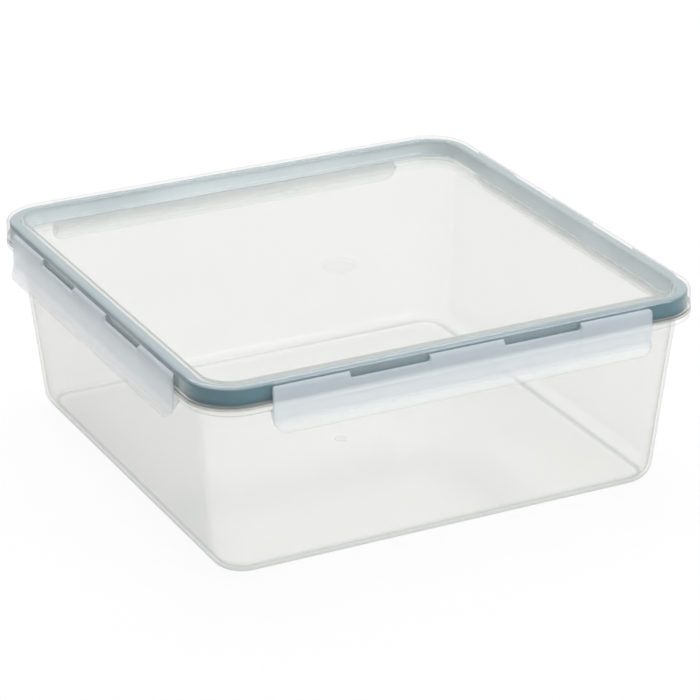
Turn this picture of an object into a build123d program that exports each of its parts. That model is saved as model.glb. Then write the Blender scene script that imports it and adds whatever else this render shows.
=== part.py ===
from build123d import *
import os
from math import cos, radians, sin, sqrt, tan

# Food storage container: a square tub, a lid with a raised rim, a soft seal
# in the rim, and one long latch on each side that snaps under the tub's flange.
# Millimetres. +Z is up, the origin is at the middle of the base, and the
# front latch faces -Y.

# Tub
tub_base_width = 232.0
tub_base_corner_radius = 16.0
tub_draft = 5.1
tub_bottom_radius = 10.0
tub_wall = 1.6
tub_floor = 2.0
gate_well_diameter = 6.0
gate_well_depth = 0.5
flange_thickness = 1.6
flange_overhang = 0.3
flange_lip_height = 3.2
flange_lip_wall = 1.5
flange_edge_chamfer = 0.5
tongue_height = 4.5
tongue_edge_chamfer = 0.4

# Lid
overall_height = 102.0
skirt_height = 10.8
lid_wall = 1.6
lid_corner_radius = 23.0
rim_outer_radius = 2.5
rim_inner_radius = 1.1
recess_depth = 8.0
rim_draft = 5.0
recess_fillet = 2.0
plug_edge_chamfer = 0.6
panel_thickness = 1.6
gate_mark_diameter = 17.0
gate_mark_depth = 0.3

# Seal
seal_leg = 3.4
seal_end_chamfer = 0.7

# Latches
latch_wall = 1.6
latch_drop = 22.0
latch_end_margin = 9.5
latch_corner_radius = 6.0
latch_top_corner_radius = 0.8
window_width = 40.5
window_height = 2.8
window_corner_radius = 1.5
hinge_bead_radius = 0.3
hinge_below_edge = 0.2
hook_reach = 3.4
hook_tip = 0.8
hook_height = 5.0
gusset_wall = 1.6
gusset_stop = 2.3
flare_radius = 11.5
flare_angle = 42.0

# Clearances
lid_seat_gap = 0.3
plug_gap = 0.4
tongue_gap = 0.4
tongue_top_gap = 0.3
seal_gap = 0.1
seal_recess = 0.3
latch_gap = 0.3
hook_gap = 0.3
hinge_gap = 0.05

# Heights of the rim, from the top down
rim_top_z = overall_height
skirt_bottom_z = rim_top_z - skirt_height
channel_roof_z = rim_top_z - lid_wall
panel_top_z = rim_top_z - recess_depth
panel_bottom_z = panel_top_z - panel_thickness
flange_top_z = skirt_bottom_z - lid_seat_gap
flange_bottom_z = flange_top_z - flange_thickness
lip_bottom_z = flange_top_z - flange_lip_height
tongue_top_z = flange_top_z + tongue_height


def tub_half(z):
    """Half of the tub's outer width at height z, on its drafted wall."""
    return tub_base_width / 2 + z * tan(radians(tub_draft))


# Half widths of the rim. Everything round the mouth is stacked outwards from
# the tongue, so that lid, seal and latches fit a tub of any size.
tongue_half = tub_half(tongue_top_z)
mouth_half = tongue_half - tub_wall
seal_half = tongue_half + tongue_gap + seal_leg
channel_half = seal_half + seal_gap
lid_half = channel_half + lid_wall
flange_half = lid_half + flange_overhang
plug_half = tub_half(panel_bottom_z) - tub_wall - plug_gap
recess_half = plug_half - lid_wall

# All corners of the rim turn about the same four centres, and those of the
# tub's base about four centres a little further in. Between the two, from the
# bend up, each corner of the wall is an oblique cone.
corner_centre = lid_half - lid_corner_radius
base_centre = tub_base_width / 2 - tub_base_corner_radius
bend_z = tub_bottom_radius


def rim_square(half, mode=Mode.ADD):
    """Rounded square of the given half width, on the rim's corner centres."""
    return RectangleRounded(2 * half, 2 * half, half - corner_centre, mode=mode)


def base_square(half):
    """Rounded square of the given half width, on the base's corner centres."""
    return RectangleRounded(2 * half, 2 * half, half - base_centre)


def drafted(height, draft):
    """Extrudes the pending sketch, widening by the draft, and makes both sides
    of it from the left half, so that every corner is a true cone."""
    extrude(amount=height, taper=-draft)
    split(bisect_by=Plane.YZ, keep=Keep.BOTTOM)
    mirror(about=Plane.YZ)


os.makedirs("parts", exist_ok=True)

# Hollow of the tub: what its mouth, drafted walls and rounded floor enclose
with BuildPart() as hollow:
    with BuildSketch(Plane.XY.offset(tub_floor)):
        base_square(tub_half(tub_floor) - tub_wall)
    drafted(bend_z - tub_floor, tub_draft)
    fillet(hollow.edges().group_by(Axis.Z)[0], tub_bottom_radius - tub_wall)
    with BuildSketch(Plane.XY.offset(bend_z)):
        base_square(tub_half(bend_z) - tub_wall)
    with BuildSketch(Plane.XY.offset(tongue_top_z)):
        rim_square(mouth_half)
    loft(ruled=True)

# Tub: drafted wall, flange with its turned-down lip, upright tongue
with BuildPart() as tub:
    with BuildSketch():
        base_square(tub_base_width / 2)
    drafted(bend_z, tub_draft)
    fillet(tub.edges().group_by(Axis.Z)[0], tub_bottom_radius)
    with BuildSketch(Plane.XY.offset(bend_z)):
        base_square(tub_half(bend_z))
    with BuildSketch(Plane.XY.offset(flange_top_z)):
        rim_square(tub_half(flange_top_z))
    loft(ruled=True)

    with BuildSketch(Plane.XY.offset(flange_bottom_z)):
        rim_square(flange_half)
    extrude(amount=flange_thickness)
    with BuildSketch(Plane.XY.offset(lip_bottom_z)):
        rim_square(flange_half)
        rim_square(flange_half - flange_lip_wall, mode=Mode.SUBTRACT)
    extrude(amount=flange_lip_height)
    chamfer(tub.edges().group_by(Axis.Z)[-1], flange_edge_chamfer)

    with BuildSketch(Plane.XY.offset(flange_top_z)):
        rim_square(tongue_half)
    extrude(amount=tongue_height)
    chamfer(tub.edges().group_by(Axis.Z)[-1], tongue_edge_chamfer)

    add(hollow.part, mode=Mode.SUBTRACT)
    with BuildSketch():
        Circle(gate_well_diameter / 2)
    extrude(amount=gate_well_depth, mode=Mode.SUBTRACT)
tub.part.label = "tub"
export_step(tub.part, "parts/tub.step")

# Recess in the lid's top, where another container's base stands
with BuildPart() as recess:
    with BuildSketch(Plane.XY.offset(panel_top_z)):
        rim_square(recess_half)
    drafted(recess_depth, rim_draft)
    fillet(recess.edges().group_by(Axis.Z)[0], recess_fillet)

# Plug of the lid: the panel and the inner wall of the rim, inside the mouth
with BuildPart() as plug:
    with BuildSketch(Plane.XY.offset(panel_bottom_z)):
        rim_square(plug_half)
    drafted(channel_roof_z - panel_bottom_z, rim_draft)
    chamfer(plug.edges().group_by(Axis.Z)[0], plug_edge_chamfer)

# Lid: rim with its skirt, hollowed from below round the plug. The channel's
# chamfered roof keeps the wall's thickness under the rim's round edge.
roof_chamfer = (rim_outer_radius - lid_wall) * (2 - sqrt(2))
with BuildPart() as lid:
    with BuildSketch(Plane.XY.offset(skirt_bottom_z)):
        rim_square(lid_half)
    extrude(amount=skirt_height)
    fillet(lid.edges().group_by(Axis.Z)[-1], rim_outer_radius)
    with BuildSketch(Plane.XY.offset(skirt_bottom_z)):
        rim_square(channel_half)
    extrude(amount=channel_roof_z - skirt_bottom_z, mode=Mode.SUBTRACT)
    roof = lid.faces().filter_by(Axis.Z).filter_by_position(
        Axis.Z, channel_roof_z - lid_wall / 2, channel_roof_z + lid_wall / 2)
    chamfer(roof.edges(), roof_chamfer)
    add(plug.part)
    add(recess.part, mode=Mode.SUBTRACT)
    rim_mouth = lid.faces().filter_by(Axis.Z).sort_by(Axis.Z)[-1].inner_wires()[0]
    fillet(rim_mouth.edges(), rim_inner_radius)
    with BuildSketch(Plane.XY.offset(panel_top_z)):
        Circle(gate_mark_diameter / 2)
    extrude(amount=-gate_mark_depth, mode=Mode.SUBTRACT)
lid.part.label = "lid"
export_step(lid.part, "parts/lid.step")

# Seal: an upside-down L in the channel, one arm over the tongue and one outside it
seal_top_z = channel_roof_z - seal_gap
seal_bottom_z = skirt_bottom_z + seal_recess
plug_rise = (seal_top_z - panel_bottom_z) * tan(radians(rim_draft))
seal_inner_half = plug_half + plug_rise + seal_gap
with BuildPart() as seal:
    with BuildSketch(Plane.XY.offset(seal_bottom_z)):
        rim_square(seal_half)
        rim_square(seal_half - seal_leg, mode=Mode.SUBTRACT)
    extrude(amount=seal_top_z - seal_bottom_z)
    chamfer(seal.edges().group_by(Axis.Z)[0], seal_end_chamfer)
    with BuildSketch(Plane.XY.offset(tongue_top_z + tongue_top_gap)):
        rim_square(seal_half)
        rim_square(seal_inner_half, mode=Mode.SUBTRACT)
    extrude(amount=seal_top_z - tongue_top_z - tongue_top_gap)
    top_edges = seal.faces().sort_by(Axis.Z)[-1].outer_wire().edges()
    chamfer(top_edges, roof_chamfer)
seal.part.label = "seal"
export_step(seal.part, "parts/seal.step")

# Latch: section measured outwards from the middle of the container and upwards
hinge_z = rim_top_z - rim_outer_radius - hinge_below_edge
hinge_half = lid_half + hinge_gap + hinge_bead_radius
latch_inner = flange_half + latch_gap
latch_outer = latch_inner + latch_wall
latch_bottom_z = hinge_z - latch_drop
latch_length = 2 * (corner_centre - latch_end_margin)
hook_top_z = lip_bottom_z - hook_gap
hook_tip_half = latch_inner - hook_reach

# The finger lip flares outwards on an arc about a centre outside the latch.
flare_centre_half = latch_outer + flare_radius
flare_start_z = latch_bottom_z + (flare_radius + latch_wall) * sin(radians(flare_angle))


def flare_point(radius, angle):
    """Point of the flare's arc, angle degrees below its start."""
    return (flare_centre_half - radius * cos(radians(angle)),
            flare_start_z - radius * sin(radians(angle)))


# Three equal hinge segments leave two windows between them.
hinge_segment = (latch_length - 2 * window_width) / 3
window_centre = (hinge_segment + window_width) / 2

latch_sides = {"front": (0, -1), "right": (1, 0), "back": (0, 1), "left": (-1, 0)}
for side, (out_x, out_y) in latch_sides.items():
    outward = Vector(out_x, out_y, 0)
    along = Vector(-out_y, out_x, 0)
    section_plane = Plane(origin=(0, 0, 0), x_dir=outward, z_dir=outward.cross(Vector(0, 0, 1)))
    face_plane = Plane(origin=(0, 0, 0), x_dir=along, z_dir=outward)

    with BuildPart() as latch:
        with BuildSketch(section_plane):
            with BuildLine():
                Line((latch_inner, flare_start_z), (latch_inner, hinge_z))
                RadiusArc((latch_inner, hinge_z), (latch_outer, hinge_z - latch_wall), latch_wall)
                Line((latch_outer, hinge_z - latch_wall), (latch_outer, flare_start_z))
                ThreePointArc((latch_outer, flare_start_z),
                              flare_point(flare_radius, flare_angle / 2),
                              flare_point(flare_radius, flare_angle))
                Line(flare_point(flare_radius, flare_angle),
                     flare_point(flare_radius + latch_wall, flare_angle))
                ThreePointArc(flare_point(flare_radius + latch_wall, flare_angle),
                              flare_point(flare_radius + latch_wall, flare_angle / 2),
                              (latch_inner, flare_start_z))
            make_face()
            with Locations((hinge_half, hinge_z)):
                Circle(hinge_bead_radius)
                Rectangle(latch_inner + hinge_bead_radius / 2 - hinge_half, hinge_bead_radius,
                          align=(Align.MIN, Align.MAX))
            with BuildLine():
                Polyline((latch_inner + latch_wall / 2, hook_top_z), (hook_tip_half, hook_top_z),
                         (hook_tip_half, hook_top_z - hook_tip),
                         (latch_inner, hook_top_z - hook_height),
                         (latch_inner + latch_wall / 2, hook_top_z - hook_height), close=True)
            make_face()
        extrude(amount=latch_length / 2, both=True)

        # End gussets carry the hook's slope on down to the finger lip.
        for end in (-1, 1):
            with BuildSketch(section_plane.offset(end * (latch_length - gusset_wall) / 2)):
                with BuildLine():
                    Polyline((latch_inner + latch_wall / 2, hook_top_z),
                             (hook_tip_half, hook_top_z - hook_tip),
                             (latch_inner + latch_wall / 2, latch_bottom_z + gusset_stop),
                             close=True)
                make_face()
            extrude(amount=gusset_wall / 2, both=True)

        # Outline seen from the front: rounded lower corners and two windows
        with BuildSketch(face_plane) as outline:
            with Locations((0, latch_bottom_z)):
                Rectangle(latch_length, latch_drop + hinge_bead_radius,
                          align=(Align.CENTER, Align.MIN))
            fillet(outline.vertices().group_by(Axis.Y)[0], latch_corner_radius)
            fillet(outline.vertices().group_by(Axis.Y)[-1], latch_top_corner_radius)
        extrude(amount=flare_centre_half, mode=Mode.INTERSECT)
        with BuildSketch(face_plane) as windows:
            with Locations((-window_centre, hinge_z + hinge_bead_radius),
                           (window_centre, hinge_z + hinge_bead_radius)):
                Rectangle(window_width, window_height + hinge_bead_radius,
                          align=(Align.CENTER, Align.MAX))
            fillet(windows.vertices().group_by(Axis.Y)[0], window_corner_radius)
        extrude(amount=flare_centre_half, mode=Mode.SUBTRACT)
    latch.part.label = "latch_" + side
    export_step(latch.part, "parts/latch_" + side + ".step")

print("lid width", round(2 * lid_half, 3))
print("hinge axis out", round(hinge_half, 3), "up", round(hinge_z, 3))
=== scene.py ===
"""Looks of a square food storage container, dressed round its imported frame.

The clear tub, the clear lid and the slate-blue seal are smooth surfaces worked
out with numpy: one profile each, carried round a rounded square. The four
latches are sections that change along their length.
"""
import logging
import math
from dataclasses import astuple, dataclass
from enum import Enum

import bpy
import numpy as np
from mathutils import Matrix


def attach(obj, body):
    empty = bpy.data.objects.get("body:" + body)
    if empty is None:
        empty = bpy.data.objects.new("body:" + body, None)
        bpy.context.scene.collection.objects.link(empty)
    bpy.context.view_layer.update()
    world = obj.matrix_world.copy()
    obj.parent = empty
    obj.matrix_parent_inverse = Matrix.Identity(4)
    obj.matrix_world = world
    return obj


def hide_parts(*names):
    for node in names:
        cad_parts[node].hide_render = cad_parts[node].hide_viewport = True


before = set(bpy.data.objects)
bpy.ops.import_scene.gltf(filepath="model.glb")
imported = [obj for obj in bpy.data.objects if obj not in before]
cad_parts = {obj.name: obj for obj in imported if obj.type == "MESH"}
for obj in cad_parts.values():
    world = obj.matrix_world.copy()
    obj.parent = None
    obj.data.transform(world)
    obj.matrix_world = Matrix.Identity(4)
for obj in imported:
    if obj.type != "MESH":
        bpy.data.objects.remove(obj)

LOG = logging.getLogger("container")
MM = 0.001
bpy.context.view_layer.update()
WHITE = (1.0, 1.0, 1.0, 1.0)
# Middle of the container in metres, which the lamps point at.
MIDDLE = (0.0, 0.0, 0.05)
# Roundings that a mould leaves on edges, in millimetres.
KEEN = 0.2
CRISP = 0.3
SOFT = 0.5
# Bend past which two faces of a latch meet at an edge, in degrees.
CREASE = 35
# Range that most values of a noise texture lie in.
NOISE_LOW = 0.3
NOISE_HIGH = 0.7


class Slot(Enum):
    """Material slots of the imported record."""

    TUB = "tub"
    LID = "lid"
    SEAL = "seal"
    LATCH = "latch"


def linear(colour: str) -> tuple[float, float, float, float]:
    """Turns an sRGB hex colour into linear light.

    Args:
        colour: six hex digits, such as "d8dcda".

    Returns:
        Red, green, blue and an alpha of 1.
    """
    parts = [int(colour[i:i + 2], 16) / 255 for i in (0, 2, 4)]
    light = [p / 12.92 if p <= 0.04045 else ((p + 0.055) / 1.055) ** 2.4 for p in parts]
    return (*light, 1.0)


def add_node(tree: bpy.types.NodeTree, kind: str, settings: dict | None = None,
             inputs: dict | None = None) -> bpy.types.Node:
    """Adds one node, sets it and links it.

    Args:
        tree: node tree of a material, a world or a lamp.
        kind: Blender's name for the type of node.
        settings: attributes of the node.
        inputs: for each input, by name or number, its value or the output
            socket that feeds it.

    Returns:
        The new node.
    """
    made = tree.nodes.new(kind)
    for name, value in (settings or {}).items():
        setattr(made, name, value)
    for name, value in (inputs or {}).items():
        if isinstance(value, bpy.types.NodeSocket):
            tree.links.new(value, made.inputs[name])
        else:
            made.inputs[name].default_value = value
    return made


def new_material(name: str) -> tuple[bpy.types.Material, bpy.types.NodeTree]:
    """Makes a material with an empty node tree.

    Args:
        name: what the material is.

    Returns:
        The material and its tree.
    """
    material = bpy.data.materials.new(name)
    material.use_nodes = True
    material.node_tree.nodes.clear()
    return material, material.node_tree


@dataclass(frozen=True)
class ClearPolypropylene:
    """Injection-moulded polypropylene, clear with a little milk in it.

    To the eye it is a thin grey-white veil under a soft gloss. Shade is painted
    in grey where a wall is seen edge on and round its bends, and a reflection of
    the seal and a shadow are painted dark on some edges. It is pale and frosted
    on moulded faces that stay off the seal, and more frost on straight sides is
    painted light. Flow of the melt leaves faint cloudy streaks and a surface that
    is not quite flat.

    Attributes:
        name: name of the material.
        colour: sRGB of the milk.
        frost_colour: sRGB of frosted faces, which take the seal's tint.
        edge_shade_colour: sRGB of the shade painted on walls seen edge on and round bends.
        seal_reflection_and_shadow_colour: sRGB of the reflection of the seal and the shadow painted
            on edges.
        edge_shade_veil: share of light that one face stops where shade is painted.
        edge_power: how suddenly the painted shade greys a wall as it turns edge on.
        bend_floor: share of a bend's painted shade that is left when seen square on.
        seal_reflection_and_shadow_veil: share of light that an edge stops where the seal's
            reflection and a shadow are painted.
        frost_from: share of stopped light where milk starts to look like frost.
        frost_to: share where it is all frost.
        gloss: share of light that the surface mirrors, seen square on.
        edge_gloss: the same, seen at a grazing angle.
        gloss_power: how suddenly the mirror sets in as a face turns edge on.
        ior: index of refraction, that of polypropylene.
        roughness: roughness of the moulded surface.
        cloud_mm: size of the cloudy streaks.
        cloud_swing: share by which the streaks change the veil.
        ripple_mm: length of the surface's slow waves.
        ripple_height_mm: height of those waves.
        side_half: half length of the straight sides that carry more frost, painted light that makes
            them lighter.
        side_fade: length over which that frost fades out.
    """

    name: str
    colour: str = "dedfd4"
    frost_colour: str = "e4f0f5"
    edge_shade_colour: str = "8b9a9d"
    seal_reflection_and_shadow_colour: str = "1e2b31"
    edge_shade_veil: float = 0.65
    edge_power: float = 4.0
    bend_floor: float = 0.7
    seal_reflection_and_shadow_veil: float = 0.95
    frost_from: float = 0.12
    frost_to: float = 0.3
    gloss: float = 0.05
    edge_gloss: float = 0.8
    gloss_power: float = 3.6
    ior: float = 1.49
    roughness: float = 0.12
    cloud_mm: float = 60.0
    cloud_swing: float = 0.1
    ripple_mm: float = 45.0
    ripple_height_mm: float = 0.15
    side_half: float = 98.0
    side_fade: float = 3.0

    def stopped(self, tree: bpy.types.NodeTree, place: bpy.types.NodeSocket
                ) -> bpy.types.NodeSocket:
        """Share of light that a face stops: veil + side, the painted light on the straight sides,
        where |x| or |y| is below side_half.

        Args:
            tree: node tree of the material.
            place: Object coordinates.

        Returns:
            The share.
        """
        veil = add_node(tree, "ShaderNodeAttribute", {"attribute_name": "veil"}).outputs["Fac"]
        side = add_node(tree, "ShaderNodeAttribute", {"attribute_name": "side"}).outputs["Fac"]
        apart = add_node(tree, "ShaderNodeSeparateXYZ", None, {"Vector": place})
        far = [add_node(tree, "ShaderNodeMath", {"operation": "ABSOLUTE"}, {
            0: apart.outputs[axis]}).outputs[0] for axis in ("X", "Y")]
        near = add_node(tree, "ShaderNodeMath", {"operation": "MINIMUM"}, {0: far[0], 1: far[1]})
        mask = add_node(tree, "ShaderNodeMapRange", None, {
            "Value": near.outputs[0], "From Min": (self.side_half - self.side_fade) * MM,
            "From Max": self.side_half * MM, "To Min": 1.0, "To Max": 0.0})
        both = add_node(tree, "ShaderNodeMath", {"operation": "MULTIPLY_ADD"}, {
            0: side, 1: mask.outputs[0], 2: veil})
        return both.outputs[0]

    def material(self) -> bpy.types.Material:
        """Makes the material.

        The share of light that a face stops comes from the piece's own
        attribute "veil", what the straight sides add to it as painted light from
        "side", the shade painted round a bend from "shade", the shade painted where
        the plastic is seen from inside from "inner", and the reflection of the seal
        and the shadow painted on an edge from "slate".

        Returns:
            The material, its veil mixed with a transparent shader.
        """
        material, tree = new_material(self.name)
        place = add_node(tree, "ShaderNodeTexCoord").outputs["Object"]
        stopped = self.stopped(tree, place)
        bend = add_node(tree, "ShaderNodeAttribute", {"attribute_name": "shade"}).outputs["Fac"]
        inner = add_node(tree, "ShaderNodeAttribute", {"attribute_name": "inner"}).outputs["Fac"]
        slate = add_node(tree, "ShaderNodeAttribute", {"attribute_name": "slate"}).outputs["Fac"]
        facing = add_node(tree, "ShaderNodeLayerWeight", None, {"Blend": 0.5}).outputs["Facing"]
        inside = add_node(tree, "ShaderNodeNewGeometry").outputs["Backfacing"]

        # Walls seen edge on, bends that look outwards, and walls that mirror light
        # inside the plastic get painted shade in the edge's grey.
        grazing = add_node(tree, "ShaderNodeMath", {"operation": "POWER"}, {
            0: facing, 1: self.edge_power})
        steepness = add_node(tree, "ShaderNodeMapRange", None, {
            "Value": facing, "To Min": self.bend_floor, "To Max": 1.0})
        shaded = add_node(tree, "ShaderNodeMath", {"operation": "MULTIPLY"}, {
            0: bend, 1: steepness.outputs[0]})
        outward = add_node(tree, "ShaderNodeMix", {"data_type": "FLOAT"}, {
            "Factor": inside, "A": shaded.outputs[0], "B": inner})
        edge = add_node(tree, "ShaderNodeMath", {"operation": "MAXIMUM"}, {
            0: grazing.outputs[0], 1: outward.outputs["Result"]})

        clouds = add_node(tree, "ShaderNodeTexNoise", None, {
            "Vector": place, "Scale": 1.0 / (self.cloud_mm * MM), "Detail": 3.0,
            "Distortion": 0.6})
        streaks = add_node(tree, "ShaderNodeMapRange", None, {
            "Value": clouds.outputs["Fac"], "From Min": NOISE_LOW, "From Max": NOISE_HIGH,
            "To Min": 1 - self.cloud_swing, "To Max": 1 + self.cloud_swing})
        veil = add_node(tree, "ShaderNodeMath", {"operation": "MULTIPLY"}, {
            0: stopped, 1: streaks.outputs[0]})
        cover = add_node(tree, "ShaderNodeMix", {"data_type": "FLOAT"}, {
            "Factor": edge.outputs[0], "A": veil.outputs[0], "B": self.edge_shade_veil})
        # Where slate is set, the reflection of the seal and a shadow are painted.
        reflection_and_shadow_cover = add_node(tree, "ShaderNodeMix", {"data_type": "FLOAT"}, {
            "Factor": slate, "A": cover.outputs["Result"], "B": self.seal_reflection_and_shadow_veil})
        frosted = add_node(tree, "ShaderNodeMapRange", None, {
            "Value": stopped, "From Min": self.frost_from, "From Max": self.frost_to})
        milk = add_node(tree, "ShaderNodeMix", {"data_type": "RGBA"}, {
            "Factor": frosted.outputs[0], "A": linear(self.colour),
            "B": linear(self.frost_colour)})
        tone = add_node(tree, "ShaderNodeMix", {"data_type": "RGBA"}, {
            "Factor": edge.outputs[0], "A": milk.outputs["Result"],
            "B": linear(self.edge_shade_colour)})
        reflection_and_shadow_tone = add_node(tree, "ShaderNodeMix", {"data_type": "RGBA"}, {
            "Factor": slate, "A": tone.outputs["Result"], "B": linear(self.seal_reflection_and_shadow_colour)})

        ripple = add_node(tree, "ShaderNodeTexNoise", None, {
            "Vector": place, "Scale": 1.0 / (self.ripple_mm * MM), "Detail": 1.0})
        waves = add_node(tree, "ShaderNodeBump", None, {
            "Height": ripple.outputs["Fac"], "Strength": 1.0,
            "Distance": self.ripple_height_mm * MM})
        plastic = add_node(tree, "ShaderNodeBsdfPrincipled", None, {
            "Base Color": reflection_and_shadow_tone.outputs["Result"], "Roughness": self.roughness,
            "IOR": self.ior, "Normal": waves.outputs["Normal"]})
        clear = add_node(tree, "ShaderNodeBsdfTransparent")
        veiled = add_node(tree, "ShaderNodeMixShader", None, {
            0: reflection_and_shadow_cover.outputs["Result"], 1: clear.outputs[0], 2: plastic.outputs[0]})

        # A ray isn't bent here, so only the faces that look outwards mirror the room,
        # and an edge with the seal's reflection and a shadow painted on it doesn't mirror the room
        # as well.
        gleam = add_node(tree, "ShaderNodeBsdfGlossy", None, {
            "Roughness": self.roughness, "Normal": waves.outputs["Normal"]})
        steep = add_node(tree, "ShaderNodeMath", {"operation": "POWER"}, {
            0: facing, 1: self.gloss_power})
        mirror = add_node(tree, "ShaderNodeMapRange", None, {
            "Value": steep.outputs[0], "To Min": self.gloss, "To Max": self.edge_gloss})
        share = add_node(tree, "ShaderNodeMix", {"data_type": "FLOAT"}, {
            "Factor": inside, "A": mirror.outputs[0], "B": 0.0})
        gleaming = add_node(tree, "ShaderNodeMix", {"data_type": "FLOAT"}, {
            "Factor": slate, "A": share.outputs["Result"], "B": 0.0})
        glossed = add_node(tree, "ShaderNodeMixShader", None, {
            0: gleaming.outputs["Result"], 1: veiled.outputs[0], 2: gleam.outputs[0]})
        add_node(tree, "ShaderNodeOutputMaterial", None, {"Surface": glossed.outputs[0]})
        return material


@dataclass(frozen=True)
class SiliconeRubber:
    """Moulded silicone rubber, slate blue.

    To the eye it is soft and dull, with a weak sheen and a very fine grain.

    Attributes:
        colour: sRGB of the rubber.
        patch_mm: size of the patches in which the tone drifts.
        patch_tone: brightness of the darkest patches.
        grain_mm: size of the grain.
        grain_height_mm: height of the grain.
        roughness: roughness of the matt surface.
        ior: index of refraction, that of silicone.
        sheen: strength of the sheen.
    """

    colour: str = "3b7484"
    patch_mm: float = 18.0
    patch_tone: float = 0.9
    grain_mm: float = 1.5
    grain_height_mm: float = 0.1
    roughness: float = 0.5
    ior: float = 1.41
    sheen: float = 0.1

    def material(self) -> bpy.types.Material:
        """Makes the material.

        Returns:
            The material.
        """
        material, tree = new_material("moulded_silicone_rubber")
        place = add_node(tree, "ShaderNodeTexCoord").outputs["Object"]
        patches = add_node(tree, "ShaderNodeTexNoise", None, {
            "Vector": place, "Scale": 1.0 / (self.patch_mm * MM), "Detail": 2.0})
        grain = add_node(tree, "ShaderNodeTexNoise", None, {
            "Vector": place, "Scale": 1.0 / (self.grain_mm * MM), "Detail": 4.0})
        base = linear(self.colour)
        darker = tuple(c * self.patch_tone for c in base[:3]) + (1.0,)
        tone = add_node(tree, "ShaderNodeMix", {"data_type": "RGBA"}, {
            "Factor": patches.outputs["Fac"], "A": darker, "B": base})
        bump = add_node(tree, "ShaderNodeBump", None, {
            "Height": grain.outputs["Fac"], "Strength": 0.2,
            "Distance": self.grain_height_mm * MM})
        rubber = add_node(tree, "ShaderNodeBsdfPrincipled", None, {
            "Base Color": tone.outputs["Result"], "Roughness": self.roughness,
            "IOR": self.ior, "Sheen Weight": self.sheen, "Sheen Roughness": 0.5,
            "Normal": bump.outputs["Normal"]})
        add_node(tree, "ShaderNodeOutputMaterial", None, {"Surface": rubber.outputs[0]})
        return material


@dataclass(frozen=True)
class Corner:
    """Corner of a profile, in millimetres.

    Attributes:
        half: half width.
        z: height.
        radius: rounding radius.
        veil: share of light that a face stops, from this corner on.
        inner: shade painted where a face is seen from inside the plastic, from this corner on.
        side: veil added on the straight sides, painted light that makes them lighter, from this
            corner on.
        shade: peak of the shade painted on the rounding.
        slate: peak of the seal's reflection and the shadow painted on the rounding.
        peak: share of the rounding at which that peak lies.
        narrow: how narrow the peak is; 1 spreads it over the rounding.
    """

    half: float
    z: float
    radius: float = CRISP
    veil: float = 0.08
    inner: float = 0.0
    side: float = 0.0
    shade: float = 0.0
    slate: float = 0.0
    peak: float = 0.5
    narrow: float = 1.0


MARKS = ("veil", "inner", "side", "shade", "slate")


@dataclass(frozen=True)
class Outline:
    """Rounded profile.

    Attributes:
        points: half widths and heights (n, 2).
        normals: outward normals (n, 2).
        marks: values of the five marks (n, 5), in the order of MARKS.
    """

    points: np.ndarray
    normals: np.ndarray
    marks: np.ndarray


@dataclass(frozen=True)
class Profile:
    """Outline of a wall in the plane of half width and height, in millimetres.

    The outline runs anticlockwise round the plastic, which is on its left.

    Attributes:
        corners: the corners in order.
        closed: whether the outline closes on itself; otherwise its two ends
            lie near the middle of the piece and are capped.
        steps: facets in each rounded corner.
    """

    corners: tuple[Corner, ...]
    closed: bool = False
    steps: int = 12

    def rounded(self) -> Outline:
        """Rounds every corner with an arc.

        Each corner point P has unit vectors u and v towards its neighbours,
        a half angle f between them and a radius r. The arc's centre is
        P + (u + v) / |u + v| * r / sin f, and its points turn evenly from the
        tangent point on one side to that on the other. The outward normal
        is the direction from the centre, turned round where the corner is
        hollow. Veil, inner darkness and the sides' veil run evenly from the
        stretch before the arc to the one after it. Shade and slate follow
        sin(pi * share^p)^(2 n), where n is the narrowness and p = log(1/2) /
        log(peak) puts the top of the sine at the share called peak.

        Returns:
            The rounded outline.
        """
        # The columns are the corner's fields in their order.
        data = np.array([astuple(corner) for corner in self.corners], float)
        keep = slice(None) if self.closed else slice(1, -1)
        points, radius, stretch, bend, peak, narrow = np.split(data, [2, 3, 6, 8, 9], axis=1)
        at, radius = points[keep], radius[keep]
        u = np.roll(points, 1, axis=0)[keep] - at
        v = np.roll(points, -1, axis=0)[keep] - at
        u /= np.linalg.norm(u, axis=1, keepdims=True)
        v /= np.linalg.norm(v, axis=1, keepdims=True)
        half = np.arccos(np.clip((u * v).sum(axis=1, keepdims=True), -1, 1)) / 2
        middle = (u + v) / np.linalg.norm(u + v, axis=1, keepdims=True)
        centre = at + middle * radius / np.sin(half)
        start = (at + u * radius / np.tan(half) - centre) / radius
        end = (at + v * radius / np.tan(half) - centre) / radius
        sweep = (math.pi - 2 * half)[:, None]
        share = np.linspace(0, 1, self.steps + 1)[None, :, None]
        spoke = (np.sin((1 - share) * sweep) * start[:, None]
                 + np.sin(share * sweep) * end[:, None]) / np.sin(sweep)
        turn = np.sign(v[:, :1] * u[:, 1:] - v[:, 1:] * u[:, :1])
        arcs = (centre[:, None] + spoke * radius[:, None]).reshape(-1, 2)
        normals = (spoke * turn[:, None]).reshape(-1, 2)
        before = np.roll(stretch, 1, axis=0)[keep][:, None]
        even = before + (stretch[keep][:, None] - before) * share
        power = math.log(0.5) / np.log(peak[keep][:, None])
        wave = np.clip(np.sin(math.pi * share ** power), 0, 1) ** (2 * narrow[keep][:, None])
        marks = np.concatenate([even, bend[keep][:, None] * wave], axis=2)
        marks = marks.reshape(-1, len(MARKS))
        if not self.closed:
            arcs = np.vstack([points[:1], arcs, points[-1:]])
            normals = np.vstack([normals[:1], normals, normals[-1:]])
            marks = np.vstack([marks[:1], marks, marks[-1:]])
        return Outline(arcs, normals, marks)


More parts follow.
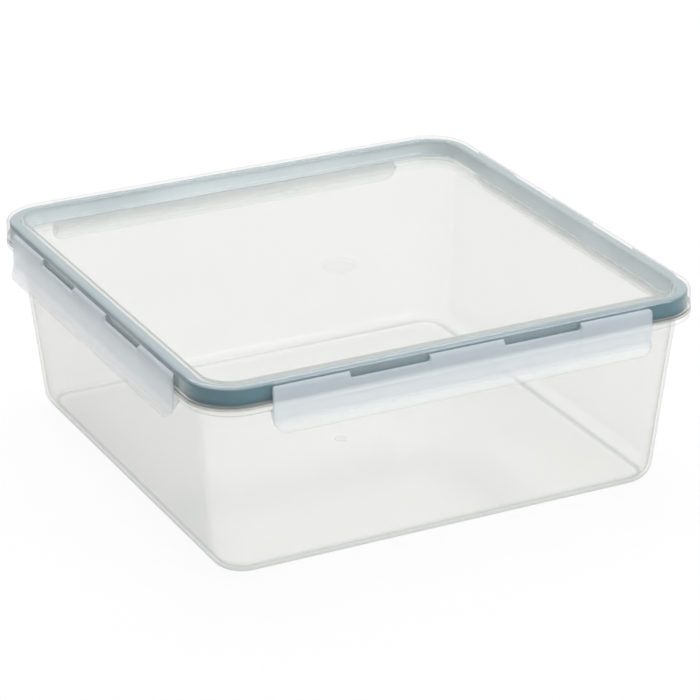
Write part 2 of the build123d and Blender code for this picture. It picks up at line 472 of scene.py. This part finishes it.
@dataclass
class Surface:
    """Grid of points that closes round its second side, in metres.

    The face between rows i and i + 1 and columns j and j + 1 takes those four
    points. Where the grid doesn't close on its first side, its first and last
    rows are flat loops, and each gets one flat face.

    Attributes:
        points: points (rows, columns, 3).
        marks: values of the marks for each point (rows, columns, 5).
        closed: whether the last row joins the first.
        normals: outward normals, where they are known.
    """

    points: np.ndarray
    marks: np.ndarray
    closed: bool = False
    normals: np.ndarray | None = None

    def faces(self, first: int) -> list[list[int]]:
        """Faces of the grid.

        Args:
            first: number of the grid's first point in the whole mesh.

        Returns:
            The faces' point numbers.
        """
        rows, columns = self.points.shape[:2]
        index = first + np.arange(rows * columns).reshape(rows, columns)
        last = rows if self.closed else rows - 1
        a, b = index[:last], np.roll(index, -1, axis=0)[:last]
        quads = np.stack([a, np.roll(a, -1, axis=1), np.roll(b, -1, axis=1), b], axis=-1)
        caps = [] if self.closed else [index[0][::-1].tolist(), index[-1].tolist()]
        return quads.reshape(-1, 4).tolist() + caps


def make_piece(name: str, surfaces: list[Surface]) -> bpy.types.Object:
    """Makes one piece from closed surfaces.

    Args:
        name: name of the new piece.
        surfaces: its surfaces.

    Returns:
        The new piece.
    """
    points = np.concatenate([s.points.reshape(-1, 3) for s in surfaces])
    faces: list[list[int]] = []
    first = 0
    for surface in surfaces:
        faces += surface.faces(first)
        first += surface.points.shape[0] * surface.points.shape[1]
    mesh = bpy.data.meshes.new(name)
    mesh.from_pydata(points.tolist(), [], faces)
    mesh.polygons.foreach_set("use_smooth", np.ones(len(faces), bool))
    marks = np.concatenate([s.marks.reshape(-1, len(MARKS)) for s in surfaces])
    for label, values in zip(MARKS, marks.T.astype(np.float32)):
        mesh.attributes.new(label, "FLOAT", "POINT").data.foreach_set(
            "value", np.ascontiguousarray(values))
    if surfaces[0].normals is None:
        mesh.set_sharp_from_angle(angle=math.radians(CREASE))
    else:
        normals = np.concatenate([s.normals.reshape(-1, 3) for s in surfaces])
        mesh.normals_split_custom_set_from_vertices(normals.tolist())
    mesh.update()
    piece = bpy.data.objects.new(name, mesh)
    bpy.context.scene.collection.objects.link(piece)
    return piece


@dataclass(frozen=True)
class SquareRing:
    """Rounded square path that a profile is carried round.

    Attributes:
        rim_centre: distance of the rim's corner centres from the axes.
        base_centre: the same at the base, inside the tub's bend.
        bend_z: height where the corner centres start to move outwards.
        rim_z: height where they reach the rim's.
        round_half: half width within which the path is a circle.
        spread: how fast the corner centres move outwards past that half width.
        steps: facets in each corner.
    """

    rim_centre: float
    base_centre: float
    bend_z: float
    rim_z: float
    round_half: float = 12.0
    spread: float = 1.08
    steps: int = 20

    def carry(self, name: str, profile: Profile) -> bpy.types.Object:
        """Carries a profile round the path.

        A point of half width h and height z goes to c * (sx, sy) + (h - c) *
        (cos t, sin t), where sx and sy are the signs of the quarter that the
        angle t is in. The corner centre c runs from the base's to the rim's
        as z rises, and falls to nothing near the middle, where the path is a
        circle. Normals are the profile's own, turned by the same angle.

        Args:
            name: name of the new piece.
            profile: outline of its wall.

        Returns:
            The new piece.
        """
        outline = profile.rounded()
        half, z = outline.points[:, :1], outline.points[:, 1:]
        rise = np.clip((z - self.bend_z) / (self.rim_z - self.bend_z), 0, 1)
        centre = self.base_centre + (self.rim_centre - self.base_centre) * rise
        near = np.clip(half - self.round_half, 0, None)
        centre = np.minimum(centre, self.spread * near)
        quarter = np.repeat(np.arange(4), self.steps + 1)
        angle = (quarter + np.tile(np.linspace(0, 1, self.steps + 1), 4)) * math.pi / 2
        sign_x = np.where((quarter == 0) | (quarter == 3), 1, -1)
        sign_y = np.where(quarter < 2, 1, -1)
        x = centre * sign_x + (half - centre) * np.cos(angle)
        y = centre * sign_y + (half - centre) * np.sin(angle)
        out, up = outline.normals[:, :1], outline.normals[:, 1:]
        level = np.ones_like(x)
        return make_piece(name, [Surface(
            points=np.stack([x, y, z * level], axis=-1) * MM,
            marks=outline.marks[:, None] * level[..., None],
            closed=profile.closed,
            normals=np.stack([out * np.cos(angle), out * np.sin(angle), up * level], axis=-1))])


def dress(piece: bpy.types.Object, material: bpy.types.Material, node: str,
          body: str) -> None:
    """Gives a new piece its finish and puts it in the place of a frame node.

    Args:
        piece: the new piece.
        material: its finish.
        node: the frame node that it stands for.
        body: the body that it rides on.
    """
    piece.data.materials.append(material)
    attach(piece, body)
    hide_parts(node)
    LOG.info("%s: %d faces in place of %s", piece.name, len(piece.data.polygons), node)


@dataclass(frozen=True)
class Tub:
    """Clear drafted body with its flange and its upright tongue, in millimetres.

    Attributes:
        base_half: half width that the outer walls would have at the base.
        draft: lean of the walls in degrees.
        bottom_radius: outer rounding of the bottom.
        wall: thickness of the walls.
        floor: height of the floor inside.
        well_radius: radius of the gate's well under the base.
        well_depth: depth of that well.
        flange_half: half width of the flange.
        flange_top: height of its upper face.
        flange_thickness: its thickness.
        flange_radius: rounding of its upper edge.
        lip_wall: thickness of its edge that turns down.
        lip_bottom: height of that edge's foot.
        lip_radius: rounding of that foot.
        tongue_top: height of the tongue that goes into the lid.
        veil: share of light that a face stops.
        marked: the same for the well.
    """

    base_half: float = 116.0
    draft: float = 5.1
    bottom_radius: float = 10.0
    wall: float = 1.6
    floor: float = 2.0
    well_radius: float = 3.0
    well_depth: float = 0.5
    flange_half: float = 130.314
    flange_top: float = 90.9
    flange_thickness: float = 1.6
    flange_radius: float = 0.6
    lip_wall: float = 1.5
    lip_bottom: float = 87.7
    lip_radius: float = 0.9
    tongue_top: float = 95.4
    veil: float = 0.085
    marked: float = 0.35

    def half(self, z: float) -> float:
        """Half width of the outer wall at a height."""
        return self.base_half + z * math.tan(math.radians(self.draft))

    def profile(self) -> Profile:
        """Outline from the well under the base, up outside, down inside.

        Returns:
            The outline.
        """
        veil = self.veil
        tongue = self.half(self.tongue_top)
        flange_bottom = self.flange_top - self.flange_thickness
        lip_inner = self.flange_half - self.lip_wall
        # shade on these roundings is painted shade, and slate on the flange's upper edge is a
        # painted shadow and reflection of the seal.
        return Profile((
            Corner(1.0, self.well_depth, veil=self.marked),
            Corner(self.well_radius, self.well_depth, KEEN, self.marked, shade=0.8),
            Corner(self.well_radius, 0.0, KEEN, veil, shade=0.6),
            Corner(self.half(0.0), 0.0, self.bottom_radius, veil, shade=0.85, peak=0.45,
                   narrow=0.4),
            Corner(self.half(flange_bottom), flange_bottom, SOFT, veil, shade=0.4),
            Corner(lip_inner, flange_bottom, CRISP, veil, shade=0.3),
            Corner(lip_inner, self.lip_bottom, SOFT, veil, shade=0.6),
            Corner(self.flange_half, self.lip_bottom, self.lip_radius, veil, shade=1.0,
                   narrow=0.4),
            Corner(self.flange_half, self.flange_top, self.flange_radius, veil, shade=0.6,
                   slate=0.45, narrow=0.5),
            Corner(tongue, self.flange_top, CRISP, veil, shade=0.3),
            Corner(tongue, self.tongue_top, SOFT, veil, shade=0.3),
            Corner(tongue - self.wall, self.tongue_top, SOFT, veil, shade=0.3),
            Corner(self.half(self.floor) - self.wall, self.floor,
                   self.bottom_radius - self.wall, veil, shade=1.0, peak=0.7, narrow=5.0),
            Corner(1.0, self.floor, veil=veil),
        ))

    def build(self, ring: SquareRing, finish: ClearPolypropylene) -> None:
        """Makes the tub and dresses it."""
        dress(ring.carry("tub_body", self.profile()), finish.material(), "tub", "tub")


@dataclass(frozen=True)
class Lid:
    """Clear cover with a raised hollow rim and a sunk panel, in millimetres.

    The channel's roof and its inner wall stay off the seal and are frosted.
    Its outer wall, the skirt, is wetted by the seal and looks clearer; on its
    straight sides more frost is painted light, which makes them lighter than the
    corners. The recess's wall, down to mirror_bottom, mirrors light inside the
    plastic, and shade is painted on it where it is seen from inside.

    Attributes:
        half: half width of the skirt.
        top: height of the rim.
        skirt_bottom: height of the skirt's foot.
        wall: thickness of the walls.
        outer_radius: rounding of the rim's outer edge.
        inner_radius: rounding of its inner edge.
        panel_top: height of the panel.
        recess_half: half width of the recess at the panel.
        recess_draft: lean of its wall in degrees.
        recess_fillet: rounding at its foot.
        plug_radius: rounding of the wall that dips into the tub, at its foot.
        mark_radius: radius of the shallow ring on the panel.
        mark_depth: its depth.
        mark_rounding: rounding of its edges.
        veil: share of light that a face stops.
        plug_frost: the same for the channel's inner wall.
        roof_frost: the same for the channel's roof.
        wetted: the same for the skirt.
        side_painted_light: what the straight sides add to it, painted light that makes them lighter
            than the corners.
        marked: the same for the shallow ring.
        mark_shadow: darkness under the shallow ring.
        mirror_bottom: height down to which the recess's wall mirrors light and has painted shade
            seen from inside.
        slight: how far a bend too slight to see stands off a straight face.
        foot_shadow_and_reflection_line: height of the dark line above the skirt's foot, a painted
            shadow and reflection of the seal.
        foot_bend: radius of the slight bend that carries it.
    """

    half: float = 130.014
    top: float = 102.0
    skirt_bottom: float = 91.2
    wall: float = 1.6
    outer_radius: float = 2.5
    inner_radius: float = 1.1
    panel_top: float = 94.0
    recess_half: float = 120.647
    recess_draft: float = 5.0
    recess_fillet: float = 2.0
    plug_radius: float = 0.8
    mark_radius: float = 8.5
    mark_depth: float = 0.3
    mark_rounding: float = 0.15
    veil: float = 0.07
    plug_frost: float = 0.9
    roof_frost: float = 0.36
    wetted: float = 0.03
    side_painted_light: float = 0.25
    marked: float = 0.1
    mark_shadow: float = 0.3
    mirror_bottom: float = 99.5
    slight: float = 0.02
    foot_shadow_and_reflection_line: float = 1.3
    foot_bend: float = 90.0

    def profile(self) -> Profile:
        """Outline from the panel's underside, out through the channel, over the rim.

        Returns:
            The outline.
        """
        lean = math.tan(math.radians(self.recess_draft))
        under = self.panel_top - self.wall
        roof = self.top - self.wall
        plug = self.recess_half + self.wall
        channel = self.half - self.wall
        mouth = self.recess_half + (self.top - self.panel_top) * lean
        mark = self.panel_top - self.mark_depth
        mirror_end = self.recess_half + (self.mirror_bottom - self.panel_top) * lean
        # shade and inner here are painted shade, slate at the skirt's foot is a painted shadow and
        # reflection of the seal, and side is painted light.
        return Profile((
            Corner(1.0, under, veil=self.veil, inner=self.mark_shadow),
            # A bend too slight to see ends the mark's shadow.
            Corner(self.mark_radius, under - self.slight / 2, 1.0, self.veil),
            Corner(plug, under, self.plug_radius, self.plug_frost, shade=0.3),
            Corner(plug + (roof - under) * lean, roof, SOFT, self.roof_frost),
            Corner(channel, roof, self.outer_radius - self.wall, self.wetted,
                   side=self.side_painted_light),
            Corner(channel, self.skirt_bottom, CRISP, self.wetted, shade=0.5, slate=0.8),
            Corner(self.half, self.skirt_bottom, SOFT, self.wetted, shade=0.6, slate=1.0,
                   narrow=0.2),
            # A bend too slight to see carries the dark line at the skirt's foot, a painted shadow
            # and reflection of the seal.
            Corner(self.half + self.slight, self.skirt_bottom + self.foot_shadow_and_reflection_line, self.foot_bend,
                   self.wetted, slate=0.9, peak=0.25, narrow=0.25),
            Corner(self.half, self.top, self.outer_radius, self.veil),
            Corner(mouth, self.top, self.inner_radius, self.veil, inner=0.9, shade=0.6),
            # A bend too slight to see ends the part that mirrors light inside, with painted shade
            # seen from inside.
            Corner(mirror_end - self.slight, self.mirror_bottom, 5.0, self.veil),
            Corner(self.recess_half, self.panel_top, self.recess_fillet, self.veil, shade=0.2),
            Corner(self.mark_radius, self.panel_top, self.mark_rounding, self.marked,
                   shade=0.8),
            Corner(self.mark_radius, mark, self.mark_rounding, self.marked, shade=0.3),
            Corner(1.0, mark, veil=self.marked),
        ))

    def build(self, ring: SquareRing, finish: ClearPolypropylene) -> None:
        """Makes the lid and dresses it."""
        dress(ring.carry("lid_cover", self.profile()), finish.material(), "lid", "lid")


@dataclass(frozen=True)
class Seal:
    """Slate-blue ring in the lid's channel, an upside-down L, in millimetres.

    Attributes:
        outer: half width of the ring's outer face.
        leg_inner: half width of the leg's inner face, beside the tongue.
        arm_inner: half width of the arm's end, above the tongue.
        bottom: height of the leg's foot.
        arm_bottom: height of the arm's underside.
        top: height of the arm's upper face.
        foot_radius: rounding of the leg's foot.
        top_radius: rounding of the outer upper edge.
    """

    outer: float = 128.314
    leg_inner: float = 124.914
    arm_inner: float = 123.04
    bottom: float = 91.5
    arm_bottom: float = 95.7
    top: float = 100.3
    foot_radius: float = 0.8
    top_radius: float = 0.9

    def profile(self) -> Profile:
        """Closed outline of the ring's section.

        Returns:
            The outline.
        """
        return Profile((
            Corner(self.leg_inner, self.bottom, self.foot_radius),
            Corner(self.outer, self.bottom, self.foot_radius),
            Corner(self.outer, self.top, self.top_radius),
            Corner(self.arm_inner, self.top),
            Corner(self.arm_inner, self.arm_bottom),
            Corner(self.leg_inner, self.arm_bottom),
        ), closed=True, steps=6)

    def build(self, ring: SquareRing, finish: SiliconeRubber) -> None:
        """Makes the seal and dresses it."""
        dress(ring.carry("seal_ring", self.profile()), finish.material(), "seal", "lid")


class Side(Enum):
    """Sides of the container, each with its quarter turns from the front."""

    FRONT = 0
    RIGHT = 1
    BACK = 2
    LEFT = 3


@dataclass(frozen=True)
class Latch:
    """Long translucent flap with two windows, a hook and a flared lip, in millimetres.

    Attributes:
        inner: distance of the plate's inner face from the container's middle.
        wall: thickness of the plate.
        hinge_half: distance of the hinge's axis.
        hinge_z: height of that axis.
        bottom: height of the lip's lowest edge.
        half_length: half length of the flap.
        corner_radius: rounding of its lower corners.
        top_radius: rounding of its upper corners.
        window_centre: distance of the windows from its middle.
        window_half: half width of a window.
        window_bottom: height of a window's lower edge.
        window_radius: rounding of a window's lower corners.
        bead: radius of the hinge's bead.
        web_share: half thickness of the hinge's web, as a share of that radius.
        web_radius: rounding of the web.
        web_fall: drop of the web's upper face at the plate.
        hook_top: height of the hook's upper face.
        hook_tip: distance of its tip from the container's middle.
        hook_end: thickness of the hook at its tip.
        hook_bottom: height of its foot's lower end.
        hook_radius: rounding of its edges.
        hook_sunk: depth of that lower end in the plate.
        gusset_bottom: height of a gusset's lower end.
        gusset_radius: rounding of its edges.
        gusset_sunk: depth of its lower end in the plate.
        sunk: depth of the other feet in the plate.
        flare_radius: inner radius of the arc that the lip flares out on.
        flare_start: height where that arc starts.
        edge: rounding of the plate's edges.
        veil: share of light that a face of the plate stops.
        lip_veil: the same at the tip of the lip, which is thinner to the eye.
        hook_veil: the same for the hook and the gussets.
        web_veil: the same for the hinge's webs.
        station_gap: half distance of the two sections at a window's side.
        round_steps: sections on each rounded corner of the flap.
        flare_steps: points on each of the lip's arcs.
        tip_steps: points on each edge of its tip.
        crown_steps: points on the rounded top.
    """

    inner: float = 130.614
    wall: float = 1.6
    hinge_half: float = 130.364
    hinge_z: float = 99.3
    bottom: float = 77.3
    half_length: float = 97.514
    corner_radius: float = 6.0
    top_radius: float = 0.8
    window_centre: float = 39.255
    window_half: float = 20.25
    window_bottom: float = 96.5
    window_radius: float = 1.5
    bead: float = 0.3
    web_share: float = 0.8
    web_radius: float = 0.05
    web_fall: float = 0.05
    hook_top: float = 87.4
    hook_tip: float = 127.214
    hook_end: float = 0.8
    hook_bottom: float = 82.4
    hook_radius: float = 0.2
    hook_sunk: float = 0.6
    gusset_bottom: float = 80.3
    gusset_radius: float = 0.1
    gusset_sunk: float = 1.4
    sunk: float = 0.1
    flare_radius: float = 11.5
    flare_start: float = 86.066
    edge: float = 0.3
    veil: float = 0.37
    lip_veil: float = 0.16
    hook_veil: float = 0.12
    web_veil: float = 0.45
    station_gap: float = 0.02
    round_steps: int = 7
    flare_steps: int = 9
    tip_steps: int = 4
    crown_steps: int = 6

    def stations(self) -> np.ndarray:
        """Places along the length, close together at corners and window sides.

        Returns:
            Distances from the middle, rising.
        """
        near = 1 - np.cos(np.linspace(0, math.pi / 2, self.round_steps))
        ends = [self.half_length - reach * near
                for reach in (self.edge, self.top_radius, self.corner_radius)]
        gap = self.station_gap
        sides = [sign * self.window_half + self.window_centre + step
                 for sign in (-1, 1)
                 for step in (-gap, gap, *(gap + self.window_radius * near[1:]),
                              *(-gap - self.window_radius * near[1:]))]
        right = np.unique(np.round(np.concatenate([*ends, sides]), 4))
        return np.concatenate([-right[::-1], [0.0], right])

    @staticmethod
    def drop(distance: np.ndarray, radius: float) -> np.ndarray:
        """Depth below a rounded corner's edge: r - sqrt(r^2 - (r - d)^2) for d up to r."""
        left = radius - np.clip(distance, 0, radius)
        return radius - np.sqrt(radius ** 2 - left ** 2)

    def body(self) -> Surface:
        """Plate of the latch, one closed section at each station.

        The section runs down the inner face, round the flare's outer arc
        (centre C, radius R + wall) through the angle a, across the tip, back
        up the inner arc (radius R), up the outer face and over the rounded
        top. The top's height T and the angle a change along the length: T
        falls at the windows and the ends, and sin a = (flare start - lowest
        z) / (R + wall), where the lowest z rises round the lower corners.
        Near the ends every point moves inwards to round the edge. The veil
        thins evenly from the flare's start to its tip.

        Returns:
            The plate.
        """
        s = self.stations()
        end = self.half_length - np.abs(s)
        aside = np.abs(np.abs(s) - self.window_centre) - self.window_half
        window = aside < 0
        top = np.where(window, self.window_bottom + self.drop(-aside, self.window_radius),
                       self.hinge_z - self.drop(aside, self.edge))
        top = top - self.drop(end, self.top_radius)
        lowest = self.bottom + self.drop(end, self.corner_radius)
        outer_arc = self.flare_radius + self.wall
        angle = np.arcsin((self.flare_start - lowest) / outer_arc)[:, None]
        crown = np.where(window, self.edge, self.wall)[:, None]
        top = top[:, None]
        outer = self.inner + self.wall
        centre_h = outer + self.flare_radius
        turn = np.linspace(0, 1, self.flare_steps)[None]
        tip = np.linspace(0, math.pi / 2, self.tip_steps)[None]
        r = self.edge
        level = np.ones_like(angle)

        def arc(radius: float, share: np.ndarray) -> tuple[np.ndarray, np.ndarray]:
            """Points of the flare at a share of its angle."""
            a = angle * share
            return centre_h - radius * np.cos(a), self.flare_start - radius * np.sin(a)

        def rounding(radius: float, way: float, swing: np.ndarray) -> tuple[np.ndarray, np.ndarray]:
            """Points of a tip's corner: centre + r (e cos b + t sin b)."""
            e = (-np.cos(angle) * way, -np.sin(angle) * way)
            t = (np.sin(angle), -np.cos(angle))
            at = (centre_h - radius * np.cos(angle) - r * t[0],
                  self.flare_start - radius * np.sin(angle) - r * t[1])
            return (at[0] + r * (e[0] * np.cos(swing) + t[0] * np.sin(swing)),
                    at[1] + r * (e[1] * np.cos(swing) + t[1] * np.sin(swing)))

        back = 1 - r / (outer_arc * angle)
        swing = np.linspace(0, math.pi / 2, self.crown_steps)[None]
        parts = [
            (self.inner * level, top),
            arc(outer_arc, turn * back),
            rounding(outer_arc - r, 1.0, tip[:, 1:]),
            rounding(self.flare_radius + r, -1.0, tip[:, ::-1]),
            arc(self.flare_radius, turn[:, -2::-1] * back),
            (outer - crown + crown * np.cos(swing), top - crown + crown * np.sin(swing)),
        ]
        h = np.concatenate([np.broadcast_to(p[0], p[1].shape) for p in parts], axis=1)
        z = np.concatenate([p[1] for p in parts], axis=1)
        run = np.stack([np.roll(h, -1, 1) - np.roll(h, 1, 1),
                        np.roll(z, -1, 1) - np.roll(z, 1, 1)], axis=-1)
        run /= np.linalg.norm(run, axis=-1, keepdims=True)
        inset = self.drop(end, self.edge)[:, None]
        h = h - run[..., 1] * inset
        z = z + run[..., 0] * inset
        thick = np.clip((z - self.bottom) / (self.flare_start - self.bottom), 0, 1)
        return self.along(s, h, z, self.lip_veil + (self.veil - self.lip_veil) * thick)

    @staticmethod
    def along(s: np.ndarray, h: np.ndarray, z: np.ndarray, veil: np.ndarray | float) -> Surface:
        """Surface of the front latch from sections at stations.

        Args:
            s: places along the length.
            h: distances out from the container's middle (stations, points).
            z: heights of the same shape.
            veil: share of light that a face stops.

        Returns:
            The surface, with its points in metres.
        """
        points = np.stack([s[:, None] * np.ones_like(h), -h, z], axis=-1) * MM
        marks = np.zeros((*h.shape, len(MARKS)))
        marks[..., 0] = veil
        return Surface(points, marks)

    def bar(self, start: float, end: float, corners: tuple[tuple[float, float], ...],
            radius: float, veil: float) -> Surface:
        """Straight bar of one rounded section.

        Args:
            start: its first end along the length.
            end: its other end.
            corners: half width and height of the section's corners.
            radius: rounding radius.
            veil: share of light that a face stops.

        Returns:
            The bar.
        """
        outline = Profile(tuple(Corner(h, z, radius) for h, z in corners), closed=True, steps=3)
        h, z = outline.rounded().points.T
        s = np.array([start, end])
        return self.along(s, np.stack([h, h]), np.stack([z, z]), veil)

    def surfaces(self) -> list[Surface]:
        """Plate, hook, two gussets and three hinge webs.

        Each foot lies just inside the plate, which curves away below its root.

        Returns:
            Their closed surfaces.
        """
        root = self.inner + self.sunk
        hook_foot = self.inner + self.hook_sunk
        gusset_foot = self.inner + self.gusset_sunk
        low = self.hook_top - self.hook_end
        length = self.half_length - self.sunk
        made = [self.body()]
        made.append(self.bar(-length, length, (
            (self.hook_tip, low), (hook_foot, self.hook_bottom), (root, self.hook_top),
            (self.hook_tip, self.hook_top)), self.hook_radius, self.hook_veil))
        for start in (-length, length - self.wall):
            made.append(self.bar(start, start + self.wall, (
                (self.hook_tip, low), (gusset_foot, self.gusset_bottom), (root, low)),
                self.gusset_radius, self.hook_veil))
        web = self.bead * self.web_share
        for low_end, high_end in self.segments():
            made.append(self.bar(low_end, high_end, (
                (self.hinge_half - web, self.hinge_z - web), (root, self.hinge_z - web),
                (root, self.hinge_z - self.web_fall),
                (self.hinge_half + web, self.hinge_z + web),
                (self.hinge_half - web, self.hinge_z + web)), self.web_radius,
                self.web_veil))
        return made

    def segments(self) -> list[tuple[float, float]]:
        """Ends of the three hinge segments, left by the two windows."""
        near = self.window_centre - self.window_half
        far = self.window_centre + self.window_half
        end = self.half_length - self.top_radius
        return [(-end, -far), (-near, near), (far, end)]

    def build(self, finish: ClearPolypropylene) -> None:
        """Makes the front latch and its three copies, turned by quarters.

        Args:
            finish: satin plastic of the latches.
        """
        material = finish.material()
        for side in Side:
            turns = side.value * math.pi / 2
            spin = np.array([[math.cos(turns), -math.sin(turns), 0],
                             [math.sin(turns), math.cos(turns), 0], [0, 0, 1]])
            surfaces = self.surfaces()
            for surface in surfaces:
                surface.points = surface.points @ spin.T
            name = "latch_" + side.name.lower()
            dress(make_piece(name + "_flap", surfaces), material, name, name)


@dataclass(frozen=True)
class Lamp:
    """One soft square lamp.

    Attributes:
        name: name of the lamp.
        at: place in metres.
        size: side of the square in metres.
        power: power in watts.
    """

    name: str
    at: tuple[float, float, float]
    size: float
    power: float

    def build(self) -> None:
        """Makes the lamp and turns it to the middle of the container."""
        data = bpy.data.lights.new(self.name, "AREA")
        data.size = self.size
        data.energy = self.power
        lamp = bpy.data.objects.new(self.name, data)
        lamp.matrix_world = aim(self.at, MIDDLE)
        bpy.context.scene.collection.objects.link(lamp)


def aim(place: tuple[float, float, float], target: tuple[float, float, float]) -> Matrix:
    """Placement of a lamp whose light points at a target.

    Args:
        place: where it stands.
        target: what it points at.

    Returns:
        A matrix whose third axis points from the target to the lamp.
    """
    back = np.array(place) - np.array(target)
    back /= np.linalg.norm(back)
    right = np.cross((0.0, 1.0, 0.0) if abs(back[2]) > 0.95 else (0.0, 0.0, 1.0), back)
    right /= np.linalg.norm(right)
    up = np.cross(back, right)
    columns = np.column_stack([right, up, back, np.array(place)])
    return Matrix(np.vstack([columns, (0.0, 0.0, 0.0, 1.0)]).tolist())


@dataclass(frozen=True)
class Studio:
    """White studio with a camera at the photograph's angle.

    Attributes:
        camera_at: place of the camera in metres.
        right, up, back: its axes.
        focal_px: focal length in pixels.
        frame_px: width of the frame in pixels.
        sensor_mm: width of the camera's sensor.
        ambient: strength of the white world on the object.
        tilt: share by which that light is weaker from the left than ahead.
        mirrored: how much stronger it is in a mirror image.
        floor_half: half width of the floor in metres.
        floor_gap: distance of the floor below the base in metres.
        floor_colour: sRGB of the floor.
        floor_glow: share of a ray that sees the floor as plain white.
        clear_faces: most clear faces that one ray passes.
        lamps: the soft lamps.
    """

    camera_at: tuple[float, float, float] = (-0.64314, -1.30952, 0.67396)
    right: tuple[float, float, float] = (0.89455, -0.4469, -0.00788)
    up: tuple[float, float, float] = (0.18262, 0.34933, 0.91903)
    back: tuple[float, float, float] = (-0.40796, -0.82356, 0.39411)
    focal_px: float = 3220.54
    frame_px: int = 700
    sensor_mm: float = 36.0
    ambient: float = 0.64
    tilt: float = 0.28
    mirrored: float = 1.4
    floor_half: float = 4.0
    floor_gap: float = 0.0004
    floor_colour: str = "f2f2f2"
    floor_glow: float = 0.9
    clear_faces: int = 32
    lamps: tuple[Lamp, ...] = (
        Lamp("overhead_softbox", (0.1, 0.5, 1.3), 1.2, 12.0),
        Lamp("front_fill", (0.9, -1.3, 0.9), 0.8, 7.0),
    )

    def seen(self, tree: bpy.types.NodeTree) -> bpy.types.NodeSocket:
        """Share of a ray that shows the white background: camera and transmission rays."""
        path = add_node(tree, "ShaderNodeLightPath")
        both = add_node(tree, "ShaderNodeMath", {"operation": "MAXIMUM"}, {
            0: path.outputs["Is Camera Ray"], 1: path.outputs["Is Transmission Ray"]})
        return both.outputs[0]

    def build_world(self) -> None:
        """White sky: full white where seen, and on the object softer, more so from the left."""
        world = bpy.data.worlds.new("white_studio")
        world.use_nodes = True
        tree = world.node_tree
        tree.nodes.clear()
        way = add_node(tree, "ShaderNodeSeparateXYZ", None, {
            "Vector": add_node(tree, "ShaderNodeTexCoord").outputs["Generated"]})
        fall = add_node(tree, "ShaderNodeMapRange", None, {
            "Value": way.outputs["X"], "From Min": -1.0, "From Max": 1.0,
            "To Min": self.ambient * (1 - self.tilt), "To Max": self.ambient * (1 + self.tilt)})
        gloss = add_node(tree, "ShaderNodeMapRange", None, {
            "Value": add_node(tree, "ShaderNodeLightPath").outputs["Is Glossy Ray"],
            "To Min": 1.0, "To Max": self.mirrored})
        around = add_node(tree, "ShaderNodeMath", {"operation": "MULTIPLY"}, {
            0: fall.outputs[0], 1: gloss.outputs[0]})
        strength = add_node(tree, "ShaderNodeMix", {"data_type": "FLOAT"}, {
            "Factor": self.seen(tree), "A": around.outputs[0], "B": 1.0})
        sky = add_node(tree, "ShaderNodeBackground", None, {
            "Color": WHITE, "Strength": strength.outputs["Result"]})
        add_node(tree, "ShaderNodeOutputWorld", None, {"Surface": sky.outputs[0]})
        bpy.context.scene.world = world

    def build_floor(self) -> None:
        """Pale floor that keeps a faint shadow and is seen as white."""
        corners = np.array([(-1, -1), (1, -1), (1, 1), (-1, 1)]) * self.floor_half
        mesh = bpy.data.meshes.new("studio_floor")
        points = [(x, y, -self.floor_gap) for x, y in corners.tolist()]
        mesh.from_pydata(points, [], [(0, 1, 2, 3)])
        floor = bpy.data.objects.new("studio_floor", mesh)
        bpy.context.scene.collection.objects.link(floor)
        material, tree = new_material("white_painted_board")
        board = add_node(tree, "ShaderNodeBsdfDiffuse", None, {
            "Color": linear(self.floor_colour)})
        glow = add_node(tree, "ShaderNodeEmission", None, {"Color": WHITE})
        share = add_node(tree, "ShaderNodeMath", {"operation": "MULTIPLY"}, {
            0: self.seen(tree), 1: self.floor_glow})
        both = add_node(tree, "ShaderNodeMixShader", None, {
            0: share.outputs[0], 1: board.outputs[0], 2: glow.outputs[0]})
        add_node(tree, "ShaderNodeOutputMaterial", None, {"Surface": both.outputs[0]})
        mesh.materials.append(material)

    def build_camera(self) -> None:
        """Camera fitted to the outlines in the photograph."""
        data = bpy.data.cameras.new("studio_camera")
        data.sensor_width = self.sensor_mm
        data.lens = self.focal_px * self.sensor_mm / self.frame_px
        camera = bpy.data.objects.new("studio_camera", data)
        columns = np.column_stack([self.right, self.up, self.back, self.camera_at])
        camera.matrix_world = Matrix(np.vstack([columns, (0.0, 0.0, 0.0, 1.0)]).tolist())
        bpy.context.scene.collection.objects.link(camera)
        bpy.context.scene.camera = camera

    def build(self) -> None:
        """Makes the world, the floor, the lamps and the camera."""
        self.build_world()
        self.build_floor()
        for lamp in self.lamps:
            lamp.build()
        self.build_camera()
        scene = bpy.context.scene
        scene.view_settings.view_transform = "Standard"
        # Clear walls lie behind one another, so a ray passes many faces.
        scene.cycles.transparent_max_bounces = self.clear_faces


def main() -> None:
    """Builds the container and its studio."""
    logging.basicConfig(level=logging.INFO, format="%(message)s")
    ring = SquareRing(rim_centre=107.014, base_centre=100.0, bend_z=10.0, rim_z=90.9)
    Tub().build(ring, ClearPolypropylene("clear_polypropylene_tub"))
    Lid().build(ring, ClearPolypropylene("clear_polypropylene_lid"))
    Seal().build(ring, SiliconeRubber())
    Latch().build(ClearPolypropylene(
        "satin_polypropylene_latch", colour="ebeae6", frost_colour="e9f2f9",
        edge_shade_colour="d3dadd", edge_shade_veil=0.6, gloss=0.04, roughness=0.3))
    Studio().build()


if __name__ == "__main__":
    main()
